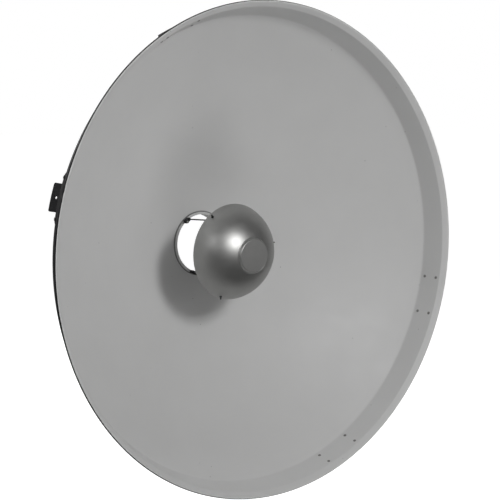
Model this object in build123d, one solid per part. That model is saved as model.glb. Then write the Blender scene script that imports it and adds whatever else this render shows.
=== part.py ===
"""Parabolic dish reflector with a bowl-shaped sub-reflector on three wire legs.

Everything is drawn about the dish axis, with z along the axis towards the open front and z = 0 at
the rear face of the hub sleeve.  The last step turns that axis to -Y, so that the finished part
has its front towards -Y and +Z up, with its origin in the middle of the hub bore's rear mouth.
Sizes are in millimetres and angles in degrees.  Angles round the axis are counted anticlockwise
from +X, as seen from the front.
"""
from build123d import *
import os
from math import asin, atan2, cos, degrees, radians, sin, sqrt, tan

# ---- Dish, spun from one sheet -----------------------------------------------------------------
RIM_RADIUS = 450.0          # outermost radius of the dish, over its rolled edge
FOCAL_LENGTH = 254.0        # of the paraboloid
SHEET = 1.5                 # thickness of the sheet
FOLD_INSET = 24.0           # from there in to the fold between the paraboloid and the steep band
FOLD_BEND = 9.0             # inner bend radius of that fold
BAND_WIDTH = 41.0           # width of the steep band, measured along its slope
BAND_SLOPE = 72.6           # slope of the band
BROW_BEND = 4.0             # bend radius between the band and the front flange
FLANGE_SLOPE = 45.0         # slope of the narrow front flange
CURL_RADIUS = 2.5           # outer radius of the edge that is curled back round the rim wire
WIRE_PLAY = 0.02            # between the rim wire and the curl that holds it

# ---- Hub in the middle of the dish -------------------------------------------------------------
BORE_RADIUS = 55.5          # clear bore through the hub
SLEEVE_WALL = 2.0           # wall of the hub sleeve
SLEEVE_REACH = 20.0         # length of sleeve behind the dish
LIP_WIDTH = 2.6             # how far the sleeve's front lip reaches over the dish
LIP_THICK = 1.8
GASKET_THICK = 1.2
GASKET_SHOW = 2.2           # how far the gasket shows beyond the lip
SEAT_WIDTH = 4.5            # flat seat beyond the gasket, before the paraboloid begins
HOLE_PLAY = 0.3             # radial play of the sleeve in the dish's hole
LOCK_RING_THICK = 6.0
LOCK_RING_WIDTH = 9.0
LOCK_RING_NOTCHES = 6       # for a hook spanner
NOTCH_WIDTH = 7.0
NOTCH_DEPTH = 3.0
BACK_WASHER_THICK = 1.2

# ---- Sub-reflector bowl ------------------------------------------------------------------------
BOWL_RIM_RADIUS = 90.0      # outside, at its open mouth
BOWL_SPHERE = 93.0          # outer radius of its spherical wall
BOWL_WALL = 1.5
BOWL_STANDOFF = 102.0       # from the hub seat to the bowl's mouth, along the axis
BOWL_SAG = 8.5              # the bowl hangs this much below the axis on its springy legs
BOWL_NOD = 1.95             # and leans this many degrees downwards
BOSS_RADIUS = 30.5          # flat round boss pressed in the middle of the bowl
BOSS_HEIGHT = 67.4          # from the mouth to the face of the boss
BOSS_FOOT = 33.0            # radius where the boss rises from the wall
BOSS_EDGE = 1.3             # rounding of the boss's edge
BOWL_EDGE = 0.5             # rounding of the mouth's edge

# ---- Wire legs, their clips and grommets -------------------------------------------------------
LEG_COUNT = 3
LEG_ANGLE = 8.5             # of the first leg
LEG_RADIUS = 1.3            # of the spring-steel wire
LEG_INSET = 3.8             # from the hub's bore out to the circle on which the legs stand
LEG_STUB = 15.0             # straight foot of a leg, from the clip's socket floor
LEG_BEND = 14.0             # bend radius above the foot
LEG_HOOK_BEND = 5.0         # bend radius of the hook in the bowl
LEG_HOOK = 7.5              # length of the hook inside the bowl's wall
LEG_TIP = 6.0               # how far the tip stands out of the bowl
LEG_HOLE_DEPTH = 9.5        # of the legs' holes, in front of the bowl's mouth
CLIP_RADIAL = 6.0
CLIP_TANGENTIAL = 12.0
CLIP_HEIGHT = 10.0
CLIP_EDGE = 1.0
CLIP_OFFSET = 3.2           # of the socket and of the screw, each side of the clip's middle
SOCKET_PLAY = 0.1           # radial play of a leg in its socket
SOCKET_DEPTH = 8.0
SCREW_RADIUS = 1.25
SCREW_HEAD_RADIUS = 2.3
SCREW_HEAD_HEIGHT = 1.3
SCREW_SLOT_WIDTH = 0.6
SCREW_SLOT_DEPTH = 0.6
GROMMET_BODY = 2.0          # radius of a grommet in the bowl's wall
GROMMET_FLANGE = 2.7
GROMMET_FLANGE_THICK = 0.6
GROMMET_LIFT = 0.06         # flange clearance over the curved wall

# ---- Rim brackets and their rivets -------------------------------------------------------------
BRACKET_ANGLES = (-15.1, -65.1, 164.9, 114.9)
BRACKET_THICK = 2.0
BRACKET_LENGTH = 88.0       # along the rim
BRACKET_START = 4.5         # distance of the base's rear edge from the fold, up the band
BRACKET_WIDTH = 33.0        # of the base, up the band
TAB_LENGTH = 49.0           # along the rim
TAB_REACH = 18.5            # how far the tab stands out behind the base
TAB_LEAN = 14.0             # of the tab, outwards from the dish axis
TAB_CORNER = 3.0
TAB_HOLE_RADIUS = 2.6
TAB_HOLE_REACH = 6.6        # of the hole's centre, from the tab's root
RIVET_SPACING = 71.5        # along the rim
RIVET_ROW_SPACING = 25.0    # up the band
RIVET_RADIUS = 1.6
RIVET_HEAD_RADIUS = 2.8
RIVET_HEAD_HEIGHT = 1.1
RIVET_TAIL_RADIUS = 3.2
RIVET_TAIL_HEIGHT = 1.8
RIVET_SEAT = 0.03           # lifts a flat head clear of the curved sheet

# ---- Worked out from the sizes above -----------------------------------------------------------
FOLD_RADIUS = RIM_RADIUS - FOLD_INSET
LEG_CIRCLE = BORE_RADIUS + LEG_INSET
SLEEVE_RADIUS = BORE_RADIUS + SLEEVE_WALL
LIP_RADIUS = SLEEVE_RADIUS + LIP_WIDTH
GASKET_RADIUS = LIP_RADIUS + GASKET_SHOW
SEAT_RADIUS = GASKET_RADIUS + SEAT_WIDTH
HOLE_RADIUS = SLEEVE_RADIUS + HOLE_PLAY
SEAT_Z = SLEEVE_REACH + SHEET
VERTEX_Z = SEAT_Z - SEAT_RADIUS**2 / (4 * FOCAL_LENGTH)
LIP_Z = SEAT_Z + GASKET_THICK
CLIP_Z = LIP_Z + LIP_THICK
BOWL_CENTRE_DEPTH = sqrt(BOWL_SPHERE**2 - BOWL_RIM_RADIUS**2)
BOWL_PLACE = Location((0, -BOWL_SAG, SEAT_Z + BOWL_STANDOFF), (BOWL_NOD, 0, 0))
BRACKET_MID = BRACKET_START + BRACKET_WIDTH / 2
RIVET_CIRCLE = FOLD_RADIUS + BRACKET_MID * cos(radians(BAND_SLOPE))
TO_WORLD = Location((0, 0, 0), (90, 0, 0))


def dish_height(radius: float) -> float:
    """Height of the paraboloid's front face at a radius: radius squared over four focal lengths."""
    return VERTEX_Z + radius**2 / (4 * FOCAL_LENGTH)


def band_point(along: float, behind: float) -> tuple[float, float]:
    """Radius and height of a point up the band from the fold, and behind its front face."""
    slope = radians(BAND_SLOPE)
    radius = FOLD_RADIUS + along * cos(slope) + behind * sin(slope)
    return radius, dish_height(FOLD_RADIUS) + along * sin(slope) - behind * cos(slope)


def turned(section: Sketch) -> Part:
    """A full turn of a section that is drawn in the XZ plane."""
    return revolve(section, Axis.Z, 360)


def section_of(*points: tuple[float, float]) -> Sketch:
    """A closed polygon in the XZ plane, from radius and height pairs."""
    return Plane.XZ * make_face(Polyline(*points, close=True))


def ring(inner: float, outer: float, low: float, high: float) -> Part:
    """A plain ring about the axis."""
    return Pos(0, 0, low) * extrude(Circle(outer) - Circle(inner), high - low)


def export(node: str, shape: Part) -> None:
    """Turns a piece into the finished frame and writes its file."""
    export_step(TO_WORLD * shape, os.path.join("parts", node + ".step"))


# ---- Dish --------------------------------------------------------------------------------------
def curl_centre() -> tuple[float, float]:
    """Centre of the curled edge, which touches the flange's front line and the rim radius."""
    slope = radians(FLANGE_SLOPE)
    brow = band_point(BAND_WIDTH, 0)
    radius = RIM_RADIUS - CURL_RADIUS
    start = radius - CURL_RADIUS * sin(slope)
    height = brow[1] + (start - brow[0]) * tan(slope) - CURL_RADIUS * cos(slope)
    return radius, height


def corner(point: tuple[float, float], before: float, after: float, behind: float) -> tuple[float, float]:
    """A corner between two slopes, in degrees, moved behind the sheet's front face by a distance."""
    mean, half_turn = radians(before + after) / 2, radians(after - before) / 2
    move = behind / cos(half_turn)
    return point[0] + move * sin(mean), point[1] - move * cos(mean)


def dish_line(behind: float) -> Wire:
    """The sheet's section line from hole to curl, at a distance behind its front face."""
    seat_slope = degrees(atan2(SEAT_RADIUS, 2 * FOCAL_LENGTH))
    fold_slope = degrees(atan2(FOLD_RADIUS, 2 * FOCAL_LENGTH))
    inner = corner((SEAT_RADIUS, SEAT_Z), 0, seat_slope, behind)
    fold = corner((FOLD_RADIUS, dish_height(FOLD_RADIUS)), fold_slope, BAND_SLOPE, behind)
    brow = corner(band_point(BAND_WIDTH, 0), BAND_SLOPE, FLANGE_SLOPE, behind)
    curl_r, curl_z = curl_centre()
    reach = CURL_RADIUS - behind
    end = (curl_r - reach * sin(radians(FLANGE_SLOPE)), curl_z + reach * cos(radians(FLANGE_SLOPE)))
    # A parabola is exactly a quadratic curve: its middle control point is where its end tangents meet.
    in_rise, out_rise = tan(radians(seat_slope)), tan(radians(fold_slope))
    meet = (inner[1] - fold[1] - in_rise * inner[0] + out_rise * fold[0]) / (out_rise - in_rise)
    control = (meet, inner[1] + in_rise * (meet - inner[0]))
    line = Wire([
        Line((HOLE_RADIUS, SEAT_Z - behind), inner).edge(),
        Bezier(inner, control, fold).edge(),
        Line(fold, brow).edge(),
        Line(brow, end).edge(),
    ])
    line = line.fillet_2d(FOLD_BEND + behind, line.vertices().sort_by_distance(Vector(*fold))[:1])
    return line.fillet_2d(BROW_BEND - behind, line.vertices().sort_by_distance(Vector(*brow))[:1])


def make_dish() -> Part:
    """The spun sheet: seat, paraboloid, steep band, flange and the curled outer edge."""
    front, back = dish_line(0), dish_line(SHEET)
    caps = [Line(front @ 0, back @ 0).edge(), Line(front @ 1, back @ 1).edge()]
    sheet = make_face(Wire(front.edges() + back.edges() + caps))
    centre = curl_centre()
    gap = Rot(0, 0, 90 + FLANGE_SLOPE) * Rectangle(
        2 * CURL_RADIUS, 2 * CURL_RADIUS, align=(Align.MIN, Align.MIN)
    )
    curl = Pos(*centre) * (Circle(CURL_RADIUS) - Circle(CURL_RADIUS - SHEET) - gap)
    dish = turned(Plane.XZ * (sheet + curl))
    for angle in BRACKET_ANGLES:
        for place in rivet_places(angle):
            dish -= place * Cylinder(RIVET_RADIUS, 8 * SHEET)
    return dish


def make_rim_wire() -> Part:
    """The stiffening wire inside the curled edge."""
    wire = Circle(CURL_RADIUS - SHEET - WIRE_PLAY)
    return turned(Plane.XZ * (Pos(*curl_centre()) * wire))


# ---- Hub ---------------------------------------------------------------------------------------
def make_hub_sleeve() -> Part:
    """A tube through the dish's hole, with a rounded lip on its front end."""
    sleeve = ring(BORE_RADIUS, SLEEVE_RADIUS, 0, CLIP_Z)
    sleeve += ring(BORE_RADIUS, LIP_RADIUS, LIP_Z, CLIP_Z)
    front = sleeve.edges().filter_by(GeomType.CIRCLE).group_by(Axis.Z)[-1]
    sleeve = fillet(front, LIP_THICK * 0.45)
    for angle in leg_angles():
        sleeve -= screw_place(angle) * Cylinder(SCREW_RADIUS, 2 * (CLIP_HEIGHT + LIP_THICK))
    return sleeve


def make_lock_ring() -> Part:
    """The ring nut behind the dish, with notches for a hook spanner."""
    top = SEAT_Z - SHEET - BACK_WASHER_THICK
    outer = SLEEVE_RADIUS + LOCK_RING_WIDTH
    nut = ring(SLEEVE_RADIUS, outer, top - LOCK_RING_THICK, top)
    for notch in range(LOCK_RING_NOTCHES):
        cut = Box(2 * NOTCH_DEPTH, NOTCH_WIDTH, 2 * LOCK_RING_THICK)
        nut -= Rot(0, 0, notch * 360 / LOCK_RING_NOTCHES) * Pos(outer, 0, top - LOCK_RING_THICK) * cut
    return nut


# ---- Bowl --------------------------------------------------------------------------------------
def bowl_solid(inset: float) -> Part:
    """The bowl's outer form, or with an inset the hollow inside it, closed at the mouth."""
    sphere = BOWL_SPHERE - inset
    foot = BOSS_FOOT - inset
    boss = BOSS_RADIUS - inset
    face = BOSS_HEIGHT - inset
    mouth = sqrt(sphere**2 - BOWL_CENTRE_DEPTH**2)
    foot_height = sqrt(sphere**2 - foot**2) - BOWL_CENTRE_DEPTH
    half_turn = (radians(90) + atan2(BOWL_CENTRE_DEPTH, mouth)) / 2
    middle = (sphere * sin(half_turn), sphere * cos(half_turn) - BOWL_CENTRE_DEPTH)
    outline = Wire([
        Line((0, 0), (mouth, 0)).edge(),
        ThreePointArc((mouth, 0), middle, (foot, foot_height)).edge(),
        Line((foot, foot_height), (boss, face)).edge(),
        Line((boss, face), (0, face)).edge(),
        Line((0, face), (0, 0)).edge(),
    ])
    rounded = outline.vertices().sort_by_distance(Vector(boss, face))[0]
    return turned(Plane.XZ * make_face(outline.fillet_2d(BOSS_EDGE, [rounded])))


def make_bowl() -> Part:
    """The spun bowl with its pressed boss, its rounded mouth and the three leg holes."""
    bowl = bowl_solid(0) - bowl_solid(BOWL_WALL)
    mouth = bowl.edges().filter_by(GeomType.CIRCLE).group_by(Axis.Z)[0]
    bowl = BOWL_PLACE * fillet(mouth, BOWL_EDGE)
    for angle in leg_angles():
        bowl -= leg_hole(angle) * Cylinder(GROMMET_BODY, 6 * BOWL_WALL)
    return bowl


# ---- Legs --------------------------------------------------------------------------------------
def leg_angles() -> list[float]:
    """The legs' angles round the axis, evenly spaced."""
    return [LEG_ANGLE + leg * 360 / LEG_COUNT for leg in range(LEG_COUNT)]


def leg_hole(angle: float) -> Location:
    """Where a leg leaves the bowl: on the outer wall, with z straight out of it."""
    rise = degrees(asin((LEG_HOLE_DEPTH + BOWL_CENTRE_DEPTH) / BOWL_SPHERE))
    centre = BOWL_PLACE * Pos(0, 0, -BOWL_CENTRE_DEPTH)
    return centre * Rot(0, 0, angle) * Rot(0, 90 - rise, 0) * Pos(0, 0, BOWL_SPHERE)


def socket_place(angle: float) -> Location:
    """The floor of a clip's socket, with z towards the front."""
    return Rot(0, 0, angle) * Pos(LEG_CIRCLE, -CLIP_OFFSET, CLIP_Z + CLIP_HEIGHT - SOCKET_DEPTH)


def screw_place(angle: float) -> Location:
    """The top of a clip, over the middle of the lip, where its screw goes in."""
    middle = (BORE_RADIUS + LIP_RADIUS) / 2
    return Rot(0, 0, angle) * Pos(middle, CLIP_OFFSET, CLIP_Z + CLIP_HEIGHT)


def make_leg_clip(angle: float) -> Part:
    """A rounded block on the lip, with a blind socket for the leg and a hole for its screw."""
    clip = Box(CLIP_RADIAL, CLIP_TANGENTIAL, CLIP_HEIGHT, align=(Align.MIN, Align.CENTER, Align.MIN))
    kept = clip.edges().group_by(Axis.Z)[1:]
    clip = fillet([edge for group in kept for edge in group], CLIP_EDGE)
    clip = Rot(0, 0, angle) * Pos(BORE_RADIUS, 0, CLIP_Z) * clip
    base = (Align.CENTER, Align.CENTER, Align.MIN)
    clip -= socket_place(angle) * Cylinder(LEG_RADIUS + SOCKET_PLAY, 2 * SOCKET_DEPTH, align=base)
    return clip - screw_place(angle) * Cylinder(SCREW_RADIUS, 3 * CLIP_HEIGHT)


def make_clip_screw(angle: float) -> Part:
    """A slotted round-head screw through the clip into the lip."""
    length = CLIP_HEIGHT + LIP_THICK
    shank = Pos(0, 0, -length) * extrude(Circle(SCREW_RADIUS), length)
    head = extrude(Circle(SCREW_HEAD_RADIUS), SCREW_HEAD_HEIGHT)
    head = fillet(head.edges().group_by(Axis.Z)[-1], SCREW_HEAD_HEIGHT / 2)
    slot = Pos(0, 0, SCREW_HEAD_HEIGHT) * Box(
        3 * SCREW_HEAD_RADIUS, SCREW_SLOT_WIDTH, 2 * SCREW_SLOT_DEPTH
    )
    return screw_place(angle) * (shank + head - slot)


def make_leg(angle: float) -> Part:
    """One wire leg: a straight foot, a long lean outwards, and a hook through the bowl's wall."""
    foot = socket_place(angle) * Pos(0, 0, SOCKET_PLAY)
    hole = leg_hole(angle)
    points = [
        foot.position,
        (foot * Pos(0, 0, LEG_STUB)).position,
        (hole * Pos(0, 0, -BOWL_WALL - LEG_HOOK)).position,
        (hole * Pos(0, 0, LEG_TIP)).position,
    ]
    path = FilletPolyline(*points, radius=[LEG_BEND, LEG_HOOK_BEND])
    end = Plane(origin=path @ 0, z_dir=path % 0)
    return sweep(end * Circle(LEG_RADIUS), path=path)


def make_grommet(angle: float) -> Part:
    """A flanged rubber bush in the bowl's wall, with the leg through it."""
    long = BOWL_WALL + 2 * (GROMMET_LIFT + GROMMET_FLANGE_THICK)
    top = GROMMET_LIFT + GROMMET_FLANGE_THICK
    body = ring(LEG_RADIUS, GROMMET_BODY, top - long, top)
    outside = ring(LEG_RADIUS, GROMMET_FLANGE, GROMMET_LIFT, top)
    inside = ring(LEG_RADIUS, GROMMET_FLANGE, top - long, top - long + GROMMET_FLANGE_THICK)
    return leg_hole(angle) * (body + outside + inside)


# ---- Rim brackets ------------------------------------------------------------------------------
def rivet_places(angle: float) -> list[Location]:
    """The four rivets of a bracket: on the band's front face, with z straight out of it."""
    half_turn = degrees(RIVET_SPACING / 2 / RIVET_CIRCLE)
    places = []
    for side in (-1, 1):
        for row in (-1, 1):
            radius, height = band_point(BRACKET_MID + row * RIVET_ROW_SPACING / 2, 0)
            turn = Rot(0, 0, angle + side * half_turn)
            places.append(turn * Pos(radius, 0, height) * Rot(0, -BAND_SLOPE, 0))
    return places


def arc_plate(corners: list[tuple[float, float]], length: float, angle: float) -> Part:
    """A plate bent round the axis: a section swept along the rim for a length, about an angle."""
    sweep_angle = degrees(length / RIVET_CIRCLE)
    plate = revolve(section_of(*corners), Axis.Z, sweep_angle)
    return Rot(0, 0, angle - sweep_angle / 2) * plate


def tab_point(reach: float, depth: float) -> tuple[float, float]:
    """Radius and height of a point down the tab from its root, and under its outer face."""
    root = band_point(BRACKET_START, SHEET + BRACKET_THICK)
    lean = radians(TAB_LEAN)
    radius = root[0] + reach * sin(lean) - depth * cos(lean)
    return radius, root[1] - reach * cos(lean) - depth * sin(lean)


def make_bracket(angle: float) -> Part:
    """A pressed bracket: a base that hugs the back of the band, and a tab with one open hole."""
    inner, outer = SHEET, SHEET + BRACKET_THICK
    low, high = BRACKET_START, BRACKET_START + BRACKET_WIDTH
    root = [band_point(low, inner), band_point(low, outer)]
    base = arc_plate([*root, band_point(high, outer), band_point(high, inner)], BRACKET_LENGTH, angle)
    base = fillet(base.edges().filter_by(GeomType.LINE).sort_by(SortBy.LENGTH)[:4], 2 * TAB_CORNER)
    tip = [tab_point(TAB_REACH, 0), tab_point(TAB_REACH, BRACKET_THICK)]
    tab = arc_plate(root + tip, TAB_LENGTH, angle)
    short = tab.edges().filter_by(GeomType.LINE).sort_by(SortBy.LENGTH)[:4]
    tab = fillet(short.sort_by(Axis.Z)[:2], TAB_CORNER)
    hole_r, hole_z = tab_point(TAB_HOLE_REACH, BRACKET_THICK / 2)
    drill = Cylinder(TAB_HOLE_RADIUS, 4 * BRACKET_THICK)
    drill = Pos(hole_r, 0, hole_z) * Rot(0, 90 - TAB_LEAN, 0) * drill
    bracket = base + tab - Rot(0, 0, angle) * drill
    for place in rivet_places(angle):
        bracket -= place * Cylinder(RIVET_RADIUS, 8 * SHEET)
    return bracket


def make_rivets(angle: float) -> Compound:
    """The four rivets of a bracket: a low dome in front, a shank, and a flat tail behind."""
    rivets = []
    stack = SHEET + BRACKET_THICK
    for place in rivet_places(angle):
        shank = Pos(0, 0, -stack - RIVET_SEAT) * extrude(Circle(RIVET_RADIUS), stack + 2 * RIVET_SEAT)
        head = Pos(0, 0, RIVET_SEAT) * extrude(Circle(RIVET_HEAD_RADIUS), RIVET_HEAD_HEIGHT)
        head = fillet(head.edges().group_by(Axis.Z)[-1], RIVET_HEAD_HEIGHT * 0.9)
        tail = extrude(Circle(RIVET_TAIL_RADIUS), -RIVET_TAIL_HEIGHT)
        rivets.append(place * (shank + head + Pos(0, 0, -stack - RIVET_SEAT) * tail))
    return Compound(rivets)


# ---- The whole reflector -----------------------------------------------------------------------
def main() -> None:
    """Makes every piece and writes each to its own file."""
    os.makedirs("parts", exist_ok=True)
    seat_back = SEAT_Z - SHEET
    export("dish_shell", make_dish())
    export("rim_wire", make_rim_wire())
    export("hub_sleeve", make_hub_sleeve())
    export("hub_gasket", ring(SLEEVE_RADIUS, GASKET_RADIUS, SEAT_Z, LIP_Z))
    export("hub_washer", ring(SLEEVE_RADIUS, SEAT_RADIUS, seat_back - BACK_WASHER_THICK, seat_back))
    export("hub_lock_ring", make_lock_ring())
    export("deflector_bowl", make_bowl())
    for number, angle in enumerate(leg_angles(), 1):
        export(f"leg_clip_{number}", make_leg_clip(angle))
        export(f"leg_clip_screw_{number}", make_clip_screw(angle))
        export(f"leg_wire_{number}", make_leg(angle))
        export(f"leg_grommet_{number}", make_grommet(angle))
    for number, angle in enumerate(BRACKET_ANGLES, 1):
        export(f"rim_bracket_{number}", make_bracket(angle))
        export(f"bracket_rivets_{number}", make_rivets(angle))


main()
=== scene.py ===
"""Looks of a round parabolic dish reflector with a bowl deflector on three wire legs.

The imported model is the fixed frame.  New surfaces are worked out in the dish's own frame, in
millimetres, with z along the dish axis towards the open front and angles counted anticlockwise from
+X as seen from the front.  ``to_frame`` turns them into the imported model's frame, in metres, where
the front faces -Y and +Z is up.
"""

import logging
import math
from dataclasses import dataclass, field
from enum import Enum

import bpy
import numpy as np
from mathutils import Matrix, Vector


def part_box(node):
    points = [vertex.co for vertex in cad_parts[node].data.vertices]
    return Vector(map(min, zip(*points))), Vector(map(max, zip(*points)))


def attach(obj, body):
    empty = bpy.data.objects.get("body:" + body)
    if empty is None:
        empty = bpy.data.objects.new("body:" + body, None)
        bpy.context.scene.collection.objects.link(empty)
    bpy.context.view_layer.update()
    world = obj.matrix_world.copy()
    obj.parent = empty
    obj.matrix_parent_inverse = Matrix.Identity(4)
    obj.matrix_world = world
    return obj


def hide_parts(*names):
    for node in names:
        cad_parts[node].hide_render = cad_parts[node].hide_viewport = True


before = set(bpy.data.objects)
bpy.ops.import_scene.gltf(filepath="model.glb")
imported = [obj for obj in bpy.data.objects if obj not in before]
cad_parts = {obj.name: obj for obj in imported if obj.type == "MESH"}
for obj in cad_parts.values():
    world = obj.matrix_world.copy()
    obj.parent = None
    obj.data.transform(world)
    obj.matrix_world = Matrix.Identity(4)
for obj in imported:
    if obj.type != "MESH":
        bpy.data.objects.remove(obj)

LOG = logging.getLogger("dish")
MM = 0.001
Array = np.ndarray
Colour = tuple[float, float, float]
Pair = tuple[float, float]
Socket = bpy.types.NodeSocket
TIP_RINGS = 6  # rows of points on a tube's domed end
CLOUD_SPAN: Pair = (0.3, 0.7)  # where most of a cloudy pattern's values lie


class Body(Enum):
    """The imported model's bodies."""

    DISH = "dish"
    DEFLECTOR = "deflector"


class Slot(Enum):
    """The record's material slots."""

    GREY_PAINT = "grey_paint"
    BLACK_PAINT = "black_paint"
    GALVANISED_WIRE = "galvanised_wire"
    BLACK_RUBBER = "black_rubber"
    GREY_FIBRE = "grey_fibre"
    BLACK_PLASTIC = "black_plastic"
    CLIP_SCREW_STEEL = "clip_screw_steel"
    SPRING_STEEL = "spring_steel"
    SATIN_ALUMINIUM = "satin_aluminium"
    RIVET_STEEL = "rivet_steel"


# ---- Surfaces as whole arrays ------------------------------------------------------------------
@dataclass
class Surface:
    """A surface held as whole arrays."""

    points: Array  # one row of x, y and z for each point, in millimetres
    faces: Array  # four point numbers for each face; a triangle repeats its last one
    kinds: Array  # the number of the material on each face

    def moved(self, place: Matrix) -> "Surface":
        """The same surface carried to a place in the dish's own frame.

        Args:
            place: The 4x4 matrix of the move.

        Returns:
            The moved surface.
        """
        matrix = np.array(place)
        points = self.points @ matrix[:3, :3].T + matrix[:3, 3]
        return Surface(points, self.faces, self.kinds)

    def outward(self) -> "Surface":
        """The same closed surface with its faces pointing out, found from its signed volume.

        Returns:
            The surface, with its faces turned round where that volume is below zero.
        """
        a, b, c, d = (self.points[self.faces[:, corner]] for corner in range(4))
        volume = np.sum(a * np.cross(b, c)) + np.sum(a * np.cross(c, d))
        if volume >= 0:
            return self
        triangle = (self.faces[:, 2] == self.faces[:, 3])[:, None]
        turned = np.where(triangle, self.faces[:, [1, 0, 2, 2]], self.faces[:, ::-1])
        return Surface(self.points, turned, self.kinds)


def joined(*surfaces: Surface) -> Surface:
    """Several surfaces as one.

    Args:
        surfaces: The surfaces to put together.

    Returns:
        One surface that holds them all.
    """
    starts = np.cumsum([0] + [len(surface.points) for surface in surfaces[:-1]])
    return Surface(
        np.concatenate([surface.points for surface in surfaces]),
        np.concatenate([surface.faces + start for surface, start in zip(surfaces, starts)]),
        np.concatenate([surface.kinds for surface in surfaces]),
    )


def compact(points: Array, faces: Array, kinds: Array) -> Surface:
    """A surface without the points that no face uses."""
    used, numbers = np.unique(faces, return_inverse=True)
    return Surface(points[used], numbers.reshape(faces.shape), kinds)


def woven(grid: Array, loop: bool = False, poles: bool = False, kinds: Array | None = None) -> Surface:
    """A closed surface over a grid of points whose columns run round to the first one again.

    Args:
        grid: Rows by columns by three coordinates.
        loop: The last row joins the first, as on a ring.
        poles: The first and the last row are one point each, as on a ball.
        kinds: The material number of each strip between two rows.

    Returns:
        The surface, with its faces pointing out.
    """
    rows, columns = grid.shape[:2]
    strips = rows if loop else rows - 1
    numbers = np.arange(rows * columns).reshape(rows, columns)
    if poles:
        numbers[0] = numbers[0, 0]
        numbers[-1] = numbers[-1, 0]
    here = numbers[:strips]
    there = np.roll(numbers, -1, axis=0)[:strips]
    faces = np.stack([here, np.roll(here, -1, axis=1), np.roll(there, -1, axis=1), there], axis=2)
    if poles:
        faces[0] = faces[0][:, [2, 3, 0, 1]]
    strip_kinds = np.zeros(strips, int) if kinds is None else kinds
    face_kinds = np.repeat(strip_kinds, columns)
    return compact(grid.reshape(-1, 3), faces.reshape(-1, 4), face_kinds).outward()


def full_turn(steps: int) -> Array:
    """Even angles round a full turn, in radians."""
    return np.linspace(0, 2 * np.pi, steps, endpoint=False)


def carried_round(radius: Array, height: Array, angle: Array) -> Array:
    """Radii r and heights h carried round the z axis: (r cos t, r sin t, h) at each angle t."""
    return np.stack([radius * np.cos(angle), radius * np.sin(angle), height + 0 * angle], axis=2)


def revolved(profile: Array, segments: int, poles: bool = False, kinds: Array | None = None) -> Surface:
    """A full turn of a profile about the z axis.

    Args:
        profile: One row of radius and height for each point.
        segments: Steps round the turn.
        poles: The profile starts and ends on the axis; otherwise it closes on itself.
        kinds: The material number of each step of the profile.

    Returns:
        The closed surface.
    """
    grid = carried_round(profile[:, :1], profile[:, 1:], full_turn(segments))
    return woven(grid, loop=not poles, poles=poles, kinds=kinds)


def rounded(corners: list[Pair], radii: list[float], steps: int = 6) -> Array:
    """A line in a plane through corners, each rounded by an arc that touches both its sides.

    Args:
        corners: The line's corners, its two ends among them.
        radii: The arc radius at each corner between the ends; 0 keeps it sharp.
        steps: Steps of each arc.

    Returns:
        One row of two coordinates for each point.
    """
    places = np.array(corners, float)
    line = [places[:1]]
    for before, corner, after, radius in zip(places, places[1:], places[2:], radii):
        line.append(arc_at(before, corner, after, radius, steps))
    line.append(places[-1:])
    return np.concatenate(line)


def closed(corners: list[Pair], radii: list[float], steps: int) -> Array:
    """A closed line in a plane through rounded corners, from the middle of its last side.

    Args:
        corners: The line's corners in order.
        radii: The arc radius at each corner.
        steps: Steps of each arc.

    Returns:
        One row of two coordinates for each point.
    """
    middle = tuple(np.mean([corners[-1], corners[0]], axis=0))
    return rounded([middle, *corners, middle], radii, steps)[:-1]


def arc_at(before: Array, corner: Array, after: Array, radius: float, steps: int) -> Array:
    """The points of the arc that rounds one corner, in a plane or in space.

    The arc's middle lies on the corner's bisector, and its points are the middle plus the radius
    times a direction that turns evenly from one touching point to the other.

    Args:
        before: A point on the side that comes in.
        corner: The corner.
        after: A point on the side that goes out.
        radius: The arc's radius; 0 keeps the corner.
        steps: Steps of the arc.

    Returns:
        One row for each point.
    """
    come = (before - corner) / np.linalg.norm(before - corner)
    go = (after - corner) / np.linalg.norm(after - corner)
    half = np.arccos(np.clip(come @ go, -1, 1)) / 2
    if radius <= 0 or half > math.radians(89.9):
        return corner[None, :]
    middle = corner + (come + go) / np.linalg.norm(come + go) * radius / math.sin(half)
    start = (corner + come * radius / math.tan(half) - middle) / radius
    end = (corner + go * radius / math.tan(half) - middle) / radius
    span = math.pi - 2 * half
    share = np.linspace(0, 1, steps + 1)[:, None]
    spoke = (np.sin((1 - share) * span) * start + np.sin(share * span) * end) / math.sin(span)
    return middle + radius * spoke


def arc(centre: Pair, radius: float, start: float, end: float, steps: int) -> Array:
    """Points of an arc in a plane, from one angle to another in degrees, both ends among them."""
    angle = np.radians(np.linspace(start, end, steps + 1))
    return np.stack([centre[0] + radius * np.cos(angle), centre[1] + radius * np.sin(angle)], axis=1)


def unit(rows: Array) -> Array:
    """Rows of coordinates scaled to length 1."""
    return rows / np.linalg.norm(rows, axis=1)[:, None]


def offset(line: Array, distance: float) -> Array:
    """A line in a plane moved to its right-hand side by a distance.

    Each point moves square to the line's direction there, taken from its two neighbours.

    Args:
        line: One row of two coordinates for each point.
        distance: How far it moves.

    Returns:
        The moved line.
    """
    along = unit(np.gradient(line, axis=0))
    return line + distance * np.stack([along[:, 1], -along[:, 0]], axis=1)


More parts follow.
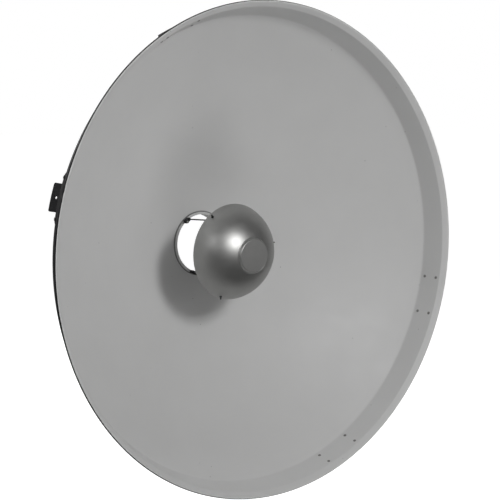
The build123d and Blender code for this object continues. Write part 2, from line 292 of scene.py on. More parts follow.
def tube(path: Array, radius: float, across: Vector, sides: int, tip: float) -> Surface:
    """A round tube along a path, with domed ends.

    A point is the path's point plus the radius times (cos t of one direction plus sin t of the
    other), where both directions are square to the path and one is square to a fixed direction.

    Args:
        path: One row of x, y and z for each station.
        radius: Of the tube.
        across: A fixed direction that the path never follows.
        sides: Points round the tube.
        tip: Length of each domed end, inside the path's length.

    Returns:
        The closed surface.
    """
    along = unit(np.gradient(path, axis=0))
    rise = np.radians(np.linspace(90, 0, TIP_RINGS))[:, None]
    start = path[0] + along[0] * tip * (1 - np.sin(rise))
    end = (path[-1] - along[-1] * tip * (1 - np.sin(rise)))[::-1]
    middle = np.concatenate([start, path[1:-1], end])
    first, last = along[:1].repeat(TIP_RINGS, 0), along[-1:].repeat(TIP_RINGS, 0)
    heading = np.concatenate([first, along[1:-1], last])
    dome = radius * np.cos(rise[:, 0])
    width = np.concatenate([dome, np.full(len(path) - 2, radius), dome[::-1]])
    side = unit(np.cross(heading, np.array(across)))
    other = np.cross(heading, side)
    angle = full_turn(sides)[None, :, None]
    ring = np.cos(angle) * side[:, None] + np.sin(angle) * other[:, None]
    return woven(middle[:, None] + width[:, None, None] * ring, poles=True)


def rounded_box(size: tuple[float, float, float], edge: float, rings: int = 12) -> Surface:
    """A box about the origin with rounded edges.

    For each direction n of a ball, the point is n times the edge radius, carried out to the corner
    on the same side by the half size less the edge radius.

    Args:
        size: Its three full sizes.
        edge: Radius of its edges.
        rings: Rows of points from pole to pole, an even number.

    Returns:
        The closed surface.
    """
    down = np.pi * (np.arange(rings) + 0.5)[:, None] / rings
    round_it = np.pi * (np.arange(2 * rings) + 0.5) / rings
    normal = carried_round(np.sin(down), np.cos(down), round_it)
    half = np.array(size) / 2
    grid = np.sign(normal) * (half - edge) + edge * normal
    pole = np.array([0, 0, half[2]]) + 0 * grid[:1]
    return woven(np.concatenate([pole, grid, -pole]), poles=True)


def turn(axis: str, angle: float) -> Matrix:
    """A turn about one axis by an angle in degrees."""
    return Matrix.Rotation(math.radians(angle), 4, axis)


def shift(x: float, y: float, z: float) -> Matrix:
    """A move by three distances."""
    return Matrix.Translation((x, y, z))


def to_frame(points: Array) -> Array:
    """Points of the dish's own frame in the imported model's frame: x, minus z and y, in metres."""
    return np.stack([points[:, 0], -points[:, 2], points[:, 1]], axis=1) * MM


def extent(node: str) -> tuple[float, float, float]:
    """What a packed ring about the dish axis takes up, in millimetres.

    Args:
        node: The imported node's name.

    Returns:
        Its outer radius, and its lowest and highest z in the dish's own frame.
    """
    low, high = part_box(node)
    return high.x / MM, -high.y / MM, -low.y / MM


def in_scene(name: str, data: bpy.types.ID) -> bpy.types.Object:
    """Puts a mesh, a light or a camera into the scene.

    Args:
        name: The object's name.
        data: What it shows.

    Returns:
        The new object.
    """
    thing = bpy.data.objects.new(name, data)
    bpy.context.scene.collection.objects.link(thing)
    return thing


def add_piece(
    name: str,
    surface: Surface,
    materials: list[bpy.types.Material],
    body: Body,
    node: str,
    sharp: float = 40.0,
) -> bpy.types.Object:
    """Makes one piece of the object from a surface, and hands it to the frame.

    Args:
        name: The piece's name.
        surface: Its points and faces.
        materials: Its materials, in the order of the faces' numbers.
        body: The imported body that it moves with.
        node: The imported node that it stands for.
        sharp: Edges that turn by more than this angle, in degrees, stay crisp.

    Returns:
        The new object.
    """
    is_corner = np.ones(surface.faces.shape, bool)
    is_corner[:, 3] = surface.faces[:, 3] != surface.faces[:, 2]
    counts = is_corner.sum(axis=1)
    corners = surface.faces[is_corner]
    mesh = bpy.data.meshes.new(name)
    mesh.vertices.add(len(surface.points))
    mesh.loops.add(len(corners))
    mesh.polygons.add(len(counts))
    mesh.vertices.foreach_set("co", to_frame(surface.points).astype(np.float32).ravel())
    mesh.loops.foreach_set("vertex_index", corners.astype(np.int32))
    mesh.polygons.foreach_set("loop_start", (np.cumsum(counts) - counts).astype(np.int32))
    mesh.polygons.foreach_set("material_index", surface.kinds.astype(np.int32))
    mesh.polygons.foreach_set("use_smooth", np.ones(len(counts), bool))
    mesh.update(calc_edges=True)
    mesh.set_sharp_from_angle(angle=math.radians(sharp))
    for material in materials:
        mesh.materials.append(material)
    piece = in_scene(name, mesh)
    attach(piece, body.value)
    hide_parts(node)
    LOG.info("%s: %d points, %d faces, rides on %s", name, len(surface.points), len(counts), body.value)
    return piece


def dress(node: str, material: bpy.types.Material) -> None:
    """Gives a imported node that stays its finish.

    Args:
        node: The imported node's name.
        material: Its finish.
    """
    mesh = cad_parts[node].data
    mesh.materials.clear()
    mesh.materials.append(material)
    LOG.info("%s: packed shape kept, finish %s", node, material.name)


def flat_faces(piece: bpy.types.Object) -> None:
    """Lets a piece's large flat faces set the shading, so that they look flat up to their edges."""
    weights = piece.modifiers.new("flat_faces", "WEIGHTED_NORMAL")
    weights.keep_sharp = True


# ---- Finishes ----------------------------------------------------------------------------------
def feed(tree: bpy.types.NodeTree, node: bpy.types.Node, values: dict[str | int, object]) -> None:
    """Sets a node's inputs.

    Args:
        tree: The tree that holds the node.
        node: The node.
        values: For each input a number, a colour, a vector, or the output that it is joined to.
    """
    for key, value in values.items():
        socket = node.inputs[key]
        if isinstance(value, Socket):
            tree.links.new(value, socket)
        else:
            socket.default_value = (*value, 1) if socket.type == "RGBA" else value


def add_node(
    tree: bpy.types.NodeTree, kind: str, values: dict[str | int, object], **settings: object
) -> bpy.types.Node:
    """Adds a node to a tree.

    Args:
        tree: The tree.
        kind: The node's type.
        values: Its inputs, as feed takes them.
        settings: Its properties and their values.

    Returns:
        The new node.
    """
    node = tree.nodes.new(kind)
    for name, value in settings.items():
        setattr(node, name, value)
    feed(tree, node, values)
    return node


class Sketch:
    """A material that is being drawn: its node tree, with short ways to add what finishes need."""

    def __init__(self, name: str) -> None:
        """Starts a material.

        Args:
            name: The material's name.
        """
        self.material = bpy.data.materials.new(name)
        self.material.use_nodes = True
        self.tree = self.material.node_tree
        self.shader = self.tree.nodes["Principled BSDF"]
        self.place = add_node(self.tree, "ShaderNodeTexCoord", {}).outputs["Object"]

    def noise(self, size: float, detail: float) -> Socket:
        """A cloudy pattern from 0 to 1 with a grain in millimetres and some finer layers."""
        values = {"Scale": 1 / (size * MM), "Detail": detail, "Vector": self.place}
        return add_node(self.tree, "ShaderNodeTexNoise", values).outputs["Fac"]

    def sum(self, kind: str, first: Socket, second: Socket | float) -> Socket:
        """The result of an operation, such as MULTIPLY, on an output and an output or a number."""
        return add_node(self.tree, "ShaderNodeMath", {0: first, 1: second}, operation=kind).outputs[0]

    def spread(self, source: Socket, low: Pair, high: Pair) -> Socket:
        """Carries a value from one span to another.

        Args:
            source: The value's output.
            low: The span that it comes from.
            high: The span that it goes to.

        Returns:
            The result's output.
        """
        names = ("From Min", "From Max", "To Min", "To Max")
        values = {"Value": source, **dict(zip(names, (*low, *high)))}
        return add_node(self.tree, "ShaderNodeMapRange", values).outputs["Result"]

    def blend(self, share: Socket, first: Socket | Colour, second: Colour) -> Socket:
        """A colour between two others: the first where the share is 0, the second where it is 1."""
        values = {"Factor": share, 6: first, 7: second}
        return add_node(self.tree, "ShaderNodeMix", values, data_type="RGBA").outputs[2]

    def relief(self, height: Socket, depth: float) -> None:
        """Gives the surface a fine relief.

        Args:
            height: The relief's output, from 0 to 1.
            depth: Its full height in millimetres.
        """
        values = {"Height": height, "Strength": 1.0, "Distance": depth * MM}
        bump = add_node(self.tree, "ShaderNodeBump", values)
        feed(self.tree, self.shader, {"Normal": bump.outputs["Normal"]})

    def specks(self, spacing: float, size: float) -> Socket:
        """A few small round dots.

        Each cell of a cell pattern has one middle, and a dot shows where it lies in the surface.

        Args:
            spacing: Size of the cells in millimetres.
            size: Radius of the largest dots in millimetres.

        Returns:
            An output that is 1 in a dot and 0 elsewhere.
        """
        values = {"Scale": 1 / (spacing * MM), "Vector": self.place}
        cells = add_node(self.tree, "ShaderNodeTexVoronoi", values)
        soft_edge = (0.6 * size / spacing, size / spacing)
        return self.spread(cells.outputs["Distance"], soft_edge, (1, 0))

    def rings(self, spacing: float) -> Socket:
        """Fine rings about the dish axis, as a spinning tool leaves them, from 0 to 1.

        The distance from the axis sets a noise that is the same all the way round.

        Args:
            spacing: Width of a ring in millimetres.

        Returns:
            The pattern's output.
        """
        kind = "ShaderNodeVectorMath"
        flat = add_node(self.tree, kind, {0: self.place, 1: (1, 0, 1)}, operation="MULTIPLY")
        length = add_node(self.tree, kind, {0: flat.outputs["Vector"]}, operation="LENGTH")
        values = {"Scale": 1 / (spacing * MM), "Detail": 3.0, "W": length.outputs["Value"]}
        return add_node(self.tree, "ShaderNodeTexNoise", values, noise_dimensions="1D").outputs["Fac"]


@dataclass(frozen=True)
class Finish:
    """A plain finish: two near colours in soft patches, a gloss that varies, and a fine grain."""

    name: str  # the material's name
    light: Colour  # its lighter colour
    dark: Colour  # its darker colour
    patch: float  # size of the patches in millimetres
    gloss: Pair  # roughness from its smoothest to its dullest places
    grain: float  # size of the grain in millimetres
    depth: float  # height of the grain in millimetres
    metal: float = 0.0  # 1 for bare metal, 0 for anything else
    shine: float = 0.5  # strength of the surface reflection of a finish that is not metal

    def base(self, sketch: Sketch) -> Socket:
        """Draws the two colours in soft patches and returns their output."""
        cloud = sketch.spread(sketch.noise(self.patch, 4.0), CLOUD_SPAN, (0, 1))
        return sketch.blend(cloud, self.dark, self.light)

    def height(self, sketch: Sketch) -> Socket:
        """Draws the grain and returns its output."""
        return sketch.noise(self.grain, 2.0)

    def build(self) -> bpy.types.Material:
        """Makes the material.

        Returns:
            The finished material.
        """
        sketch = Sketch(self.name)
        dull = sketch.spread(sketch.noise(self.patch / 3, 3.0), CLOUD_SPAN, self.gloss)
        feed(sketch.tree, sketch.shader, {
            "Metallic": self.metal,
            "Specular IOR Level": self.shine,
            "Base Color": self.base(sketch),
            "Roughness": dull,
        })
        sketch.relief(self.height(sketch), self.depth)
        return sketch.material


@dataclass(frozen=True)
class PowderCoat(Finish):
    """Satin powder coat: soft waves in its skin, and a few specks of dirt."""

    speck: Colour = (0.12, 0.12, 0.12)  # colour of the specks
    speck_spacing: float = 34.0  # size of the cells that hold one speck each, in millimetres
    speck_size: float = 0.9  # radius of the largest specks in millimetres

    def base(self, sketch: Sketch) -> Socket:
        """Draws the patches with the specks over them and returns their output."""
        specks = sketch.specks(self.speck_spacing, self.speck_size)
        return sketch.blend(specks, super().base(sketch), self.speck)


@dataclass(frozen=True)
class SpunMetal(Finish):
    """Satin spun metal: a fine blasted grain over faint rings from the spinning tool."""

    ring: float = 1.6  # width of a ring in millimetres
    ring_share: float = 0.4  # how much of the relief the rings take, from 0 to 1

    def height(self, sketch: Sketch) -> Socket:
        """Draws the grain with the rings in it.

        Args:
            sketch: The material that is being drawn.

        Returns:
            The relief's output.
        """
        grain = sketch.sum("MULTIPLY", super().height(sketch), 1 - self.ring_share)
        rings = sketch.sum("MULTIPLY", sketch.rings(self.ring), self.ring_share)
        return sketch.sum("ADD", grain, rings)


FINISHES: dict[Slot, Finish] = {
    Slot.GREY_PAINT: PowderCoat(
        "grey_powder_coat", (0.655, 0.655, 0.652), (0.635, 0.635, 0.632), 90.0, (0.46, 0.54), 1.4,
        0.012),
    Slot.BLACK_PAINT: PowderCoat(
        "black_powder_coat", (0.0065, 0.0065, 0.007), (0.004, 0.004, 0.0045), 60.0, (0.42, 0.52), 1.2,
        0.015, shine=0.3, speck=(0.07, 0.07, 0.07), speck_spacing=26.0, speck_size=0.6),
    Slot.GALVANISED_WIRE: Finish(
        "dull_zinc", (0.52, 0.53, 0.54), (0.40, 0.41, 0.42), 4.0, (0.35, 0.55), 0.8, 0.01, 1.0),
    Slot.BLACK_RUBBER: Finish(
        "black_rubber", (0.022, 0.022, 0.022), (0.014, 0.014, 0.014), 3.0, (0.6, 0.8), 0.3, 0.02),
    Slot.GREY_FIBRE: Finish(
        "grey_fibre", (0.17, 0.165, 0.16), (0.12, 0.115, 0.11), 1.5, (0.75, 0.9), 0.25, 0.05),
    Slot.BLACK_PLASTIC: Finish(
        "black_plastic", (0.011, 0.011, 0.012), (0.007, 0.007, 0.008), 5.0, (0.45, 0.55), 0.25, 0.02,
        shine=0.35),
    Slot.CLIP_SCREW_STEEL: Finish(
        "bright_zinc", (0.62, 0.62, 0.60), (0.48, 0.48, 0.46), 1.2, (0.22, 0.38), 0.2, 0.004, 1.0),
    Slot.SPRING_STEEL: Finish(
        "blackened_wire", (0.014, 0.014, 0.015), (0.008, 0.008, 0.009), 2.5, (0.35, 0.5), 0.3, 0.006,
        shine=0.3),
    Slot.SATIN_ALUMINIUM: SpunMetal(
        "satin_aluminium", (0.44, 0.44, 0.432), (0.40, 0.40, 0.393), 30.0, (0.42, 0.46), 0.5, 0.006,
        1.0),
    Slot.RIVET_STEEL: Finish(
        "rivet_steel", (0.30, 0.295, 0.29), (0.22, 0.215, 0.21), 1.2, (0.35, 0.5), 0.3, 0.008, 1.0),
}
# The black rubber gasket is toned mid grey as painted shade. Its ring stands in for the shaded step
# round the top of the hub and matches the shaded paint beside it.
GASKET_SHADE_TONE = Finish(
    "shade_toned_rubber", (0.24, 0.24, 0.237), (0.18, 0.18, 0.177), 5.0, (0.7, 0.85), 0.3, 0.02, shine=0.3)


Materials = dict[Slot, bpy.types.Material]


# ---- Dish --------------------------------------------------------------------------------------
@dataclass
class Dish:
    """The spun dish and the wire in its rolled edge."""

    # Outermost radius, over the rolled edge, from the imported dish.
    rim_radius: float = field(default_factory=lambda: extent("dish_shell")[0])
    focal_length: float = 254.0  # of the paraboloid
    sheet: float = 1.5  # thickness of the sheet
    hole_radius: float = 57.8  # of the hole for the hub
    seat_radius: float = 66.8  # where the flat hub seat ends
    seat_height: float = 21.5  # height of the seat's front face
    fold_radius: float = 426.0  # where the paraboloid ends and the steep band begins
    fold_bend: float = 9.0  # bend radius of that fold
    band_width: float = 41.0  # width of the band along its slope
    band_slope: float = 72.6  # slope of the band in degrees
    brow_bend: float = 4.0  # bend radius between the band and the flange
    flange_slope: float = 45.0  # slope of the narrow front flange in degrees
    curl_radius: float = 2.5  # outer radius of the rolled edge
    paint_edge: float = 58.0  # where the two paints meet on it, in degrees from straight outwards
    wire_radius: float = 0.98  # of the wire inside it
    segments: int = 448  # steps round the dish

    def height(self, radius: Array | float) -> Array | float:
        """Height of the front face: radius squared over four focal lengths, from the seat's edge up."""
        return self.seat_height + (radius**2 - self.seat_radius**2) / (4 * self.focal_length)

    def band_point(self, along: float, behind: float) -> Pair:
        """Radius and height of a point up the band from the fold, and behind its front face.

        Args:
            along: Distance up the band.
            behind: Distance behind its front face.

        Returns:
            The radius and the height.
        """
        slope = math.radians(self.band_slope)
        radius = self.fold_radius + along * math.cos(slope) + behind * math.sin(slope)
        height = self.height(self.fold_radius) + along * math.sin(slope) - behind * math.cos(slope)
        return radius, height

    def curl_centre(self) -> Pair:
        """Centre of the rolled edge, which touches the flange's line and the rim radius.

        Returns:
            Its radius and its height.
        """
        slope = math.radians(self.flange_slope)
        brow = self.band_point(self.band_width, 0)
        radius = self.rim_radius - self.curl_radius
        start = radius - self.curl_radius * math.sin(slope)
        height = brow[1] + (start - brow[0]) * math.tan(slope) - self.curl_radius * math.cos(slope)
        return radius, height

    def front_line(self) -> Array:
        """The front face's line from the hole to the rolled edge.

        It is the seat, the parabola, the fold's arc, the straight band, the brow's arc and the
        straight flange.

        Returns:
            One row of radius and height for each point.
        """
        lead = 10.0
        seat_blend = 6.0
        first, last = self.seat_radius + lead, self.fold_radius - lead
        seat = rounded(
            [(self.hole_radius, self.seat_height), (self.seat_radius, self.seat_height),
             (first, self.height(first))], [seat_blend]
        )
        radii = np.linspace(first, last, 42)[1:-1]
        parabola = np.stack([radii, self.height(radii)], axis=1)
        slope = math.radians(self.flange_slope)
        centre = self.curl_centre()
        end = (
            centre[0] - self.curl_radius * math.sin(slope),
            centre[1] + self.curl_radius * math.cos(slope),
        )
        edge = rounded(
            [(last, self.height(last)), (self.fold_radius, self.height(self.fold_radius)),
             self.band_point(self.band_width, 0), end], [self.fold_bend, self.brow_bend], 8
        )
        return np.concatenate([seat, parabola, edge])

    def shell(self) -> Surface:
        """The whole sheet: front face, rolled edge and back face, painted grey and black.

        Returns:
            The closed surface, with material 0 in front and 1 behind, which meet on the rolled edge.
        """
        front = self.front_line()
        back = offset(front, self.sheet)[::-1]
        begin, finish = 90 + self.flange_slope, self.flange_slope - 180
        outer = arc(self.curl_centre(), self.curl_radius, begin, finish, 26)[1:]
        inner = arc(self.curl_centre(), self.curl_radius - self.sheet, finish, begin, 16)[:-1]
        grey = len(front) - 1 + round(len(outer) * (begin - self.paint_edge) / (begin - finish))
        profile = np.concatenate([front, outer, inner, back])
        kinds = (np.arange(len(profile)) >= grey).astype(int)
        return revolved(profile, self.segments, kinds=kinds)

    def build(self, made: Materials) -> None:
        """Makes the dish and its rim wire.

        Args:
            made: The material of each slot.
        """
        paints = [made[Slot.GREY_PAINT], made[Slot.BLACK_PAINT]]
        add_piece("dish_skin", self.shell(), paints, Body.DISH, "dish_shell")
        wire = arc(self.curl_centre(), self.wire_radius, 0, 360, 12)[:-1]
        bead, slot = revolved(wire, self.segments // 2), Slot.GALVANISED_WIRE
        add_piece("rim_bead", bead, [made[slot]], Body.DISH, "rim_wire")


# ---- Hub ---------------------------------------------------------------------------------------
@dataclass
class Hub:
    """The rings in the middle of the dish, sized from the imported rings."""

    bore_radius: float = 55.5  # clear bore through the sleeve, from its mount
    sleeve_radius: float = 57.5  # outside of the sleeve
    thread_pitch: float = 1.5  # of the thread behind the dish
    thread_depth: float = 0.6  # of that thread
    thread_end: float = 0.8  # from the sleeve's rear edge to the end of the thread
    notches: int = 6  # number of notches in the lock ring
    notch_width: float = 7.0  # width of a notch
    notch_depth: float = 3.0  # depth of a notch
    notch_blend: float = 0.25  # half the width of the smooth step at its sides
    segments: int = 256  # steps round a ring

    def ring(self, inner: float, outer: float, low: float, high: float, edge: float) -> Surface:
        """A ring about the axis with rounded edges.

        Args:
            inner: Its inner radius.
            outer: Its outer radius.
            low: Its lower height.
            high: Its upper height.
            edge: Radius of its four edges.

        Returns:
            The closed surface.
        """
        section = closed([(inner, low), (outer, low), (outer, high), (inner, high)], [edge] * 4, 5)
        return revolved(section, self.segments)

    def sleeve(self) -> Surface:
        """The sleeve: a smooth bore, a rounded lip, and a thread on its outside behind the dish.

        The thread is cut inwards: the radius falls by the depth times a triangle wave of the height
        over the pitch less the angle over a full turn, so that the crest climbs one pitch a turn.

        Returns:
            The closed surface.
        """
        lip_radius, _, front = extent("hub_sleeve")
        lip_back = extent("hub_gasket")[2]
        nut_back = extent("hub_lock_ring")[1]
        corners = [
            (self.bore_radius, front / 2), (self.bore_radius, front), (lip_radius, front),
            (lip_radius, lip_back), (self.sleeve_radius, lip_back), (self.sleeve_radius, nut_back),
        ]
        upper = rounded(corners, [0.5, 0.8, 0.4, 0.2], 5)
        rows = np.arange(nut_back - self.thread_pitch / 2, self.thread_end, -self.thread_pitch / 8)
        threaded = np.stack([np.full(len(rows), self.sleeve_radius), rows], axis=1)
        lower = rounded(
            [(self.sleeve_radius, self.thread_end), (self.sleeve_radius, 0), (self.bore_radius, 0),
             (self.bore_radius, front / 2)], [0.6, 0.5], 4
        )[:-1]
        profile = np.concatenate([upper, threaded, lower])
        angle = full_turn(self.segments)
        cut = np.zeros((len(profile), 1))
        cut[len(upper):len(upper) + len(rows)] = self.thread_depth
        phase = profile[:, 1:] / self.thread_pitch - angle / (2 * np.pi)
        wave = np.abs(2 * (phase - np.floor(phase)) - 1)
        return woven(carried_round(profile[:, :1] - cut * wave, profile[:, 1:], angle), loop=True)

    def lock_ring(self) -> Surface:
        """The ring nut with its notches.

        It is a rounded section carried round the axis.  Its outer side follows a radius that drops
        by the notch depth where the distance along the rim from a notch's middle is under half the
        notch width, with a short smooth step at each side.

        Returns:
            The closed surface.
        """
        outer, low, high = extent("hub_lock_ring")
        pitch = 360 / self.notches
        half = math.degrees(self.notch_width / 2 / outer)
        step = math.degrees(self.notch_blend / outer)
        near = np.array([-step, -step / 2, 0, step / 2, step])
        one = np.sort(np.concatenate([
            np.linspace(-half, half, 9)[1:-1], near - half, near + half,
            np.linspace(half + step, pitch - half - step, 30)[1:-1],
        ]))
        angle = (one[None, :] + pitch * np.arange(self.notches)[:, None]).ravel()
        away = np.abs((angle + pitch / 2) % pitch - pitch / 2)
        rise = np.clip((away - half + step) / (2 * step), 0, 1)
        radius = outer - self.notch_depth * (1 - rise * rise * (3 - 2 * rise))
        wide = 10
        section = closed([(0, low), (wide, low), (wide, high), (0, high)], [0.3, 0.6, 0.6, 0.3], 4)
        reach = self.sleeve_radius + section[:, :1] / wide * (radius - self.sleeve_radius)
        return woven(carried_round(reach, section[:, 1:], np.radians(angle)), loop=True)

    def build(self, made: Materials) -> None:
        """Makes the sleeve, the gasket, the washer and the lock ring.

        Args:
            made: The material of each slot.
        """
        gasket = self.ring(self.sleeve_radius, *extent("hub_gasket"), 0.55)
        washer = self.ring(self.sleeve_radius, *extent("hub_washer"), 0.2)
        for name, surface, slot, node in (
            ("hub_tube", self.sleeve(), Slot.GREY_PAINT, "hub_sleeve"),
            ("hub_seal", gasket, Slot.BLACK_RUBBER, "hub_gasket"),
            ("hub_fibre_washer", washer, Slot.GREY_FIBRE, "hub_washer"),
            ("hub_ring_nut", self.lock_ring(), Slot.BLACK_PAINT, "hub_lock_ring"),
        ):
            # The gasket takes the mid grey that paints in the shade round the hub.
            material = GASKET_SHADE_TONE.build() if node == "hub_gasket" else made[slot]
            add_piece(name, surface, [material], Body.DISH, node)


# ---- Bowl deflector and its legs ---------------------------------------------------------------
@dataclass
class Bowl:
    """The spun bowl in front of the hub."""

    sphere: float = 93.0  # outer radius of its round wall
    rim_radius: float = 90.0  # outside, at its open mouth
    wall: float = 1.5  # thickness of the wall
    boss_radius: float = 30.5  # of the flat round boss
    boss_foot: float = 33.0  # radius where the boss rises from the wall
    boss_height: float = 67.4  # from the mouth to the boss's face
    groove: float = 0.9  # depth of the fine groove that the tool left round the boss's foot
    boss_edge: float = 1.3  # rounding of the boss's edge
    standoff: float = 102.0  # from the hub seat to the mouth
    sag: float = 8.5  # how far it hangs below the dish axis
    nod: float = 1.95  # how far it leans downwards, in degrees
    seat_height: float = 21.5  # height of the hub seat
    sharp: float = 60.0  # edges that turn by more than this stay crisp, in degrees
    segments: int = 288  # steps round the bowl

    @property
    def depth(self) -> float:
        """How far the round wall's centre lies behind the mouth."""
        return math.sqrt(self.sphere**2 - self.rim_radius**2)

    @property
    def place(self) -> Matrix:
        """Where the mouth's middle is, with z out of the bowl's boss."""
        return shift(0, -self.sag, self.seat_height + self.standoff) @ turn("X", self.nod)

    def line(self, inset: float, foot_bend: float, edge_bend: float) -> Array:
        """The wall's line from the mouth to the boss's middle.

        It is an arc of the sphere, then the boss's foot, side, edge and flat face.

        Args:
            inset: Distance inside the outer face.
            foot_bend: Bend radius at the boss's foot.
            edge_bend: Bend radius at the boss's edge.

        Returns:
            One row of radius and height for each point.
        """
        lead_in, flat_middle = 1.2, 4
        sphere, foot = self.sphere - inset, self.boss_foot - inset
        start = math.degrees(math.asin(self.depth / sphere))
        top = math.degrees(math.acos((foot + lead_in) / sphere))
        wall = arc((0, -self.depth), sphere, start, top, 56)
        foot_height = math.sqrt(sphere**2 - foot**2) - self.depth - self.groove
        face = self.boss_height - inset
        boss = rounded(
            [tuple(wall[-2]), tuple(wall[-1]), (foot, foot_height), (self.boss_radius - inset, face),
             (flat_middle, face), (0, face)],
            [0.5, foot_bend, edge_bend, 0], 6
        )
        return np.concatenate([wall[:-1], boss[1:]])

    def surface(self) -> Surface:
        """The whole bowl: outer face, rounded mouth and inner face.

        Returns:
            The closed surface.
        """
        outer = self.line(0, 0.4, self.boss_edge)[::-1]
        inner = self.line(self.wall, 0.8, 0.5)
        lip = rounded(
            [tuple(outer[-2]), tuple(outer[-1]), tuple(inner[0]), tuple(inner[1])], [0.5, 0.5], 4
        )[1:-1]
        profile = np.concatenate([outer[:-1], lip, inner[1:]])
        return revolved(profile, self.segments, poles=True).moved(self.place)

    def build(self, made: Materials) -> None:
        """Makes the bowl.

        Args:
            made: The material of each slot.
        """
        name, node, slot = "deflector_shell", "deflector_bowl", Slot.SATIN_ALUMINIUM
        add_piece(name, self.surface(), [made[slot]], Body.DEFLECTOR, node, self.sharp)


@dataclass
class Legs:
    """The three wire legs with their clips, screws and grommets."""

    bowl: Bowl  # the bowl that they carry
    count: int = 3  # number of legs
    first_angle: float = 8.5  # of the first leg round the axis, in degrees
    radius: float = 1.3  # of the wire
    circle: float = 59.3  # radius at which the legs stand
    bore_radius: float = 55.5  # of the hub, where the clips start
    # Of a clip: out from the axis, along the hub's edge, and its height.
    clip_size: tuple[float, float, float] = (6.0, 12.0, 10.0)
    clip_edge: float = 1.3  # rounding of a clip's edges
    clip_offset: float = 3.2  # of the socket and of the screw, each side of the clip's middle
    socket_depth: float = 8.0  # of a clip's socket
    gap: float = 0.1  # between a leg and its socket
    collar_rise: float = 0.9  # of the socket's collar over the clip
    collar_sink: float = 0.4  # of the collar into the clip
    collar_walls: Pair = (1.1, 1.5)  # from the leg to the collar's outside, at its top and its foot
    wire_sides: int = 20  # points round a leg
    wire_dome: float = 0.35  # length of a leg's domed ends
    stub: float = 15.0  # length of a leg's straight foot
    bend: float = 14.0  # bend radius above the foot
    hook_bend: float = 5.0  # bend radius of the hook in the bowl
    hook: float = 7.5  # length of the hook inside the wall
    tip: float = 6.0  # how far the leg stands out of the bowl
    hole_depth: float = 9.5  # of the leg's hole in front of the bowl's mouth
    grommet_body: float = 2.0  # radius of a grommet in the wall
    grommet_flange: float = 2.7  # radius of its flanges
    flange_thick: float = 0.6  # thickness of a flange
    flange_lift: float = 0.06  # of a flange over the round wall

    @property
    def clip_foot(self) -> float:
        """Height of the hub lip that the clips stand on."""
        return extent("hub_sleeve")[2]

    def hole(self, angle: float) -> Matrix:
        """Where a leg leaves the bowl, on its outer face, with z straight out of it.

        Args:
            angle: The leg's angle round the axis.

        Returns:
            The place as a matrix.
        """
        rise = math.degrees(math.asin((self.hole_depth + self.bowl.depth) / self.bowl.sphere))
        middle = self.bowl.place @ shift(0, 0, -self.bowl.depth)
        return middle @ turn("Z", angle) @ turn("Y", 90 - rise) @ shift(0, 0, self.bowl.sphere)

    def socket(self, angle: float) -> Matrix:
        """The floor of a clip's socket, with z towards the front."""
        floor = self.clip_foot + self.clip_size[2] - self.socket_depth
        return turn("Z", angle) @ shift(self.circle, -self.clip_offset, floor)

    def wire(self, angle: float) -> Surface:
        """One leg: a straight foot, a long lean outwards, and a hook through the bowl's wall.

        Args:
            angle: The leg's angle round the axis.

        Returns:
            The closed surface.
        """
        foot, hole = self.socket(angle), self.hole(angle)
        ends = [
            foot @ Vector((0, 0, self.gap)),
            foot @ Vector((0, 0, self.gap + self.stub)),
            hole @ Vector((0, 0, -self.bowl.wall - self.hook)),
            hole @ Vector((0, 0, self.tip)),
        ]
        path = rounded([tuple(end) for end in ends], [self.bend, self.hook_bend], 14)
        across = turn("Z", angle) @ Vector((0, 1, 0))
        return tube(path, self.radius, across, self.wire_sides, self.wire_dome)

    def grommet(self, angle: float) -> Surface:
        """A rubber bush with a soft flange on each side of the bowl's wall.

        Args:
            angle: The leg's angle round the axis.

        Returns:
            The closed surface.
        """
        top = self.flange_lift + self.flange_thick
        low = -self.bowl.wall - top
        upper, lower = self.flange_lift, low + self.flange_thick
        flange, body, inner = self.grommet_flange, self.grommet_body, self.radius
        corners = [
            (inner, top), (flange, top), (flange, upper), (body, upper),
            (body, lower), (flange, lower), (flange, low), (inner, low),
        ]
        soft = [0.15, 0.28, 0.28, 0.05, 0.05, 0.28, 0.28, 0.15]
        return revolved(closed(corners, soft, 4), 40).moved(self.hole(angle))

    def clip(self, angle: float) -> Surface:
        """A moulded block on the hub's lip, with a collar round the leg.

        Args:
            angle: The clip's angle round the axis.

        Returns:
            The closed surfaces of block and collar.
        """
        deep, _, tall = self.clip_size
        block = rounded_box(self.clip_size, self.clip_edge).moved(
            turn("Z", angle) @ shift(self.bore_radius + deep / 2, 0, self.clip_foot + tall / 2)
        )
        inner, foot = self.radius + self.gap, -self.collar_sink
        upper, lower = (self.radius + wall for wall in self.collar_walls)
        rise = self.collar_rise
        corners = [(inner, rise), (upper, rise), (lower, foot), (inner, foot)]
        collar = revolved(closed(corners, [0.2, 0.35, 0.1, 0.1], 4), 36)
        top = self.socket(angle) @ shift(0, 0, self.socket_depth)
        return joined(block, collar.moved(top))

    def build(self, made: Materials) -> None:
        """Makes the legs, the grommets and the clips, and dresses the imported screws.

        Args:
            made: The material of each slot.
        """
        for number in range(1, self.count + 1):
            angle = self.first_angle + (number - 1) * 360 / self.count
            for name, surface, body, slot, node in (
                ("leg", self.wire(angle), Body.DEFLECTOR, Slot.SPRING_STEEL, "leg_wire"),
                ("leg_bush", self.grommet(angle), Body.DEFLECTOR, Slot.BLACK_RUBBER, "leg_grommet"),
                ("clip_block", self.clip(angle), Body.DISH, Slot.BLACK_PLASTIC, "leg_clip"),
            ):
                name, node = f"{name}_{number}", f"{node}_{number}"
                piece = add_piece(name, surface, [made[slot]], body, node)
            flat_faces(piece)  # the clip, the last of the three
            dress(f"leg_clip_screw_{number}", made[Slot.CLIP_SCREW_STEEL])


